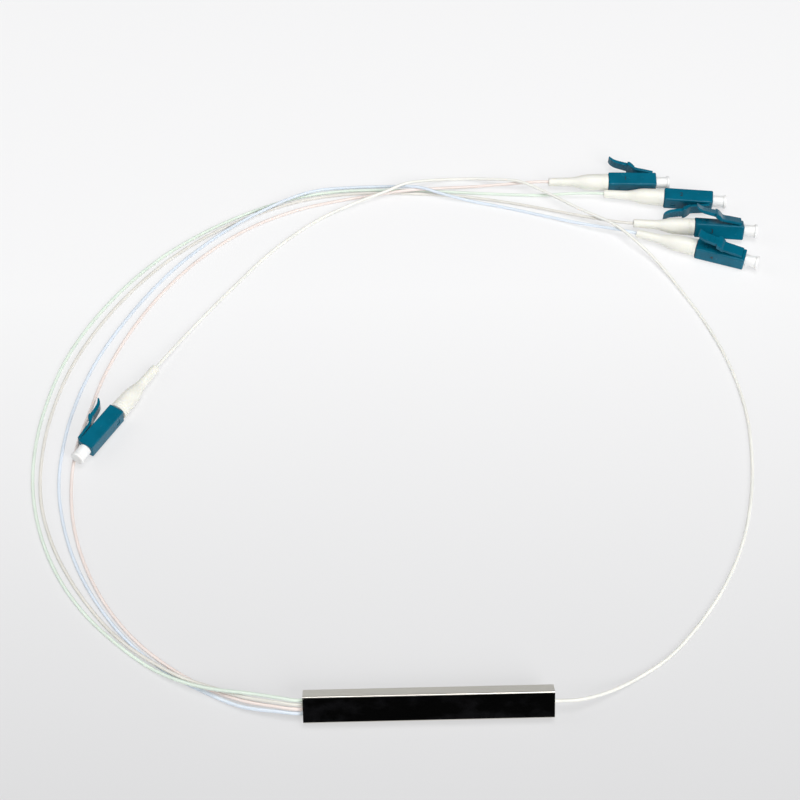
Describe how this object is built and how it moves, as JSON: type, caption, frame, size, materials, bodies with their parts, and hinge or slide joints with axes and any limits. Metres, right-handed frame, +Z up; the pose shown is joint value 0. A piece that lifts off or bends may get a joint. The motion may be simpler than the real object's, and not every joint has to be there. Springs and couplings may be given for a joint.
{
  "type": "fibre optic splitter",
  "caption": "Steel-tube fibre splitter module with a glossy black label face and thin pigtails that end in teal LC plugs with ivory boots and white dust caps.",
  "frame": {"origin": "on the ground under the middle of the module's footprint", "axes": "+X along the module towards its input end, +Y from the label side towards the plugs, +Z up"},
  "size_m": [0.2046, 0.1823, 0.0102],
  "materials": {
    "steel": "bright drawn stainless steel",
    "label_film": "black glossy film",
    "seal": "cured potting compound",
    "silica": "polished silica",
    "glass": "ground borosilicate glass",
    "bare_fibre": "acrylate coated fibre",
    "cord_in": "smooth loose tube, white",
    "cord_1": "smooth loose tube, pale orange",
    "cord_2": "smooth loose tube, pale green",
    "cord_3": "smooth loose tube, pale brown",
    "cord_4": "smooth loose tube, pale blue",
    "teal": "moulded, satin gloss",
    "ivory": "moulded, slightly soft",
    "zirconia": "polished ceramic",
    "metal": "nickel plated",
    "cap_white": "moulded, translucent edges"
  },
  "bodies": {
    "splitter": {"steel_tube": "steel", "label_film": "label_film", "input_seal": "seal", "output_seal": "seal", "plc_chip": "silica", "chip_lid": "glass", "input_array": "glass", "output_array": "glass", "input_fibre": "bare_fibre", "output_fibres": "bare_fibre", "pigtail_in": "cord_in", "housing_in": "teal", "spring_in": "metal", "rear_body_in": "teal", "boot_in": "ivory", "pigtail_1": "cord_1", "housing_1": "teal", "spring_1": "metal", "rear_body_1": "teal", "boot_1": "ivory", "pigtail_2": "cord_2", "housing_2": "teal", "spring_2": "metal", "rear_body_2": "teal", "boot_2": "ivory", "pigtail_3": "cord_3", "housing_3": "teal", "spring_3": "metal", "rear_body_3": "teal", "boot_3": "ivory", "pigtail_4": "cord_4", "housing_4": "teal", "spring_4": "metal", "rear_body_4": "teal", "boot_4": "ivory"},
    "latch_in": {"latch_in": "teal"},
    "ferrule_in": {"ferrule_in": "zirconia", "flange_in": "metal"},
    "dust_cap_in": {"dust_cap_in": "cap_white"},
    "latch_1": {"latch_1": "teal"},
    "ferrule_1": {"ferrule_1": "zirconia", "flange_1": "metal"},
    "dust_cap_1": {"dust_cap_1": "cap_white"},
    "latch_2": {"latch_2": "teal"},
    "ferrule_2": {"ferrule_2": "zirconia", "flange_2": "metal"},
    "dust_cap_2": {"dust_cap_2": "cap_white"},
    "latch_3": {"latch_3": "teal"},
    "ferrule_3": {"ferrule_3": "zirconia", "flange_3": "metal"},
    "dust_cap_3": {"dust_cap_3": "cap_white"},
    "latch_4": {"latch_4": "teal"},
    "ferrule_4": {"ferrule_4": "zirconia", "flange_4": "metal"},
    "dust_cap_4": {"dust_cap_4": "cap_white"}
  },
  "joints": [
    {"name": "latch_in_press", "type": "hinge", "parent": "splitter", "child": "latch_in", "pos_m": [-0.08977, 0.07872, 0.00321], "axis": [-0.0777, 0.0068, -0.997], "range_deg": [0, 7], "stiffness_Nm_per_rad": 0.12},
    {"name": "ferrule_in_float", "type": "slide", "parent": "splitter", "child": "ferrule_in", "axis": [-0.5222, -0.8521, 0.0349], "range_m": [-0.0008, 0], "stiffness_N_per_m": 1000, "springref_m": 0.003, "deforming": ["spring_in"]},
    {"name": "dust_cap_in_pull", "type": "slide", "parent": "splitter", "child": "dust_cap_in", "axis": [-0.5222, -0.8521, 0.0349], "range_m": [0, 0.006]},
    {"name": "latch_1_press", "type": "hinge", "parent": "splitter", "child": "latch_1", "pos_m": [0.07291, 0.17181, 0.00291], "axis": [-0.0049, -0.1391, 0.9903], "range_deg": [0, 10], "stiffness_Nm_per_rad": 0.12},
    {"name": "ferrule_1_float", "type": "slide", "parent": "splitter", "child": "ferrule_1", "axis": [0.9994, -0.0349, 0], "range_m": [-0.0008, 0], "stiffness_N_per_m": 1000, "springref_m": 0.003, "deforming": ["spring_1"]},
    {"name": "dust_cap_1_pull", "type": "slide", "parent": "splitter", "child": "dust_cap_1", "axis": [0.9994, -0.0349, 0], "range_m": [0, 0.006]},
    {"name": "latch_2_press", "type": "hinge", "parent": "splitter", "child": "latch_2", "pos_m": [0.08845, 0.15924, 0.00262], "axis": [0.0348, 0.1007, -0.9943], "range_deg": [0, 10], "stiffness_Nm_per_rad": 0.12},
    {"name": "ferrule_2_float", "type": "slide", "parent": "splitter", "child": "ferrule_2", "axis": [0.9905, -0.1357, 0.0209], "range_m": [-0.0008, 0], "stiffness_N_per_m": 1000, "springref_m": 0.003, "deforming": ["spring_2"]},
    {"name": "dust_cap_2_pull", "type": "slide", "parent": "splitter", "child": "dust_cap_2", "axis": [0.9905, -0.1357, 0.0209], "range_m": [0, 0.006]},
    {"name": "latch_3_press", "type": "hinge", "parent": "splitter", "child": "latch_3", "pos_m": [0.09635, 0.15047, 0.00506], "axis": [-0.105, -0.9212, 0.3746], "range_deg": [0, 10], "stiffness_Nm_per_rad": 0.12},
    {"name": "ferrule_3_float", "type": "slide", "parent": "splitter", "child": "ferrule_3", "axis": [0.9936, -0.1132, 0], "range_m": [-0.0008, 0], "stiffness_N_per_m": 1000, "springref_m": 0.003, "deforming": ["spring_3"]},
    {"name": "dust_cap_3_pull", "type": "slide", "parent": "splitter", "child": "dust_cap_3", "axis": [0.9936, -0.1132, 0], "range_m": [0, 0.006]},
    {"name": "latch_4_press", "type": "hinge", "parent": "splitter", "child": "latch_4", "pos_m": [0.09515, 0.13874, 0.0049], "axis": [-0.3416, -0.9384, -0.0523], "range_deg": [0, 10], "stiffness_Nm_per_rad": 0.12},
    {"name": "ferrule_4_float", "type": "slide", "parent": "splitter", "child": "ferrule_4", "axis": [0.9397, -0.342, 0], "range_m": [-0.0008, 0], "stiffness_N_per_m": 1000, "springref_m": 0.003, "deforming": ["spring_4"]},
    {"name": "dust_cap_4_pull", "type": "slide", "parent": "splitter", "child": "dust_cap_4", "axis": [0.9397, -0.342, 0], "range_m": [0, 0.006]}
  ]
}
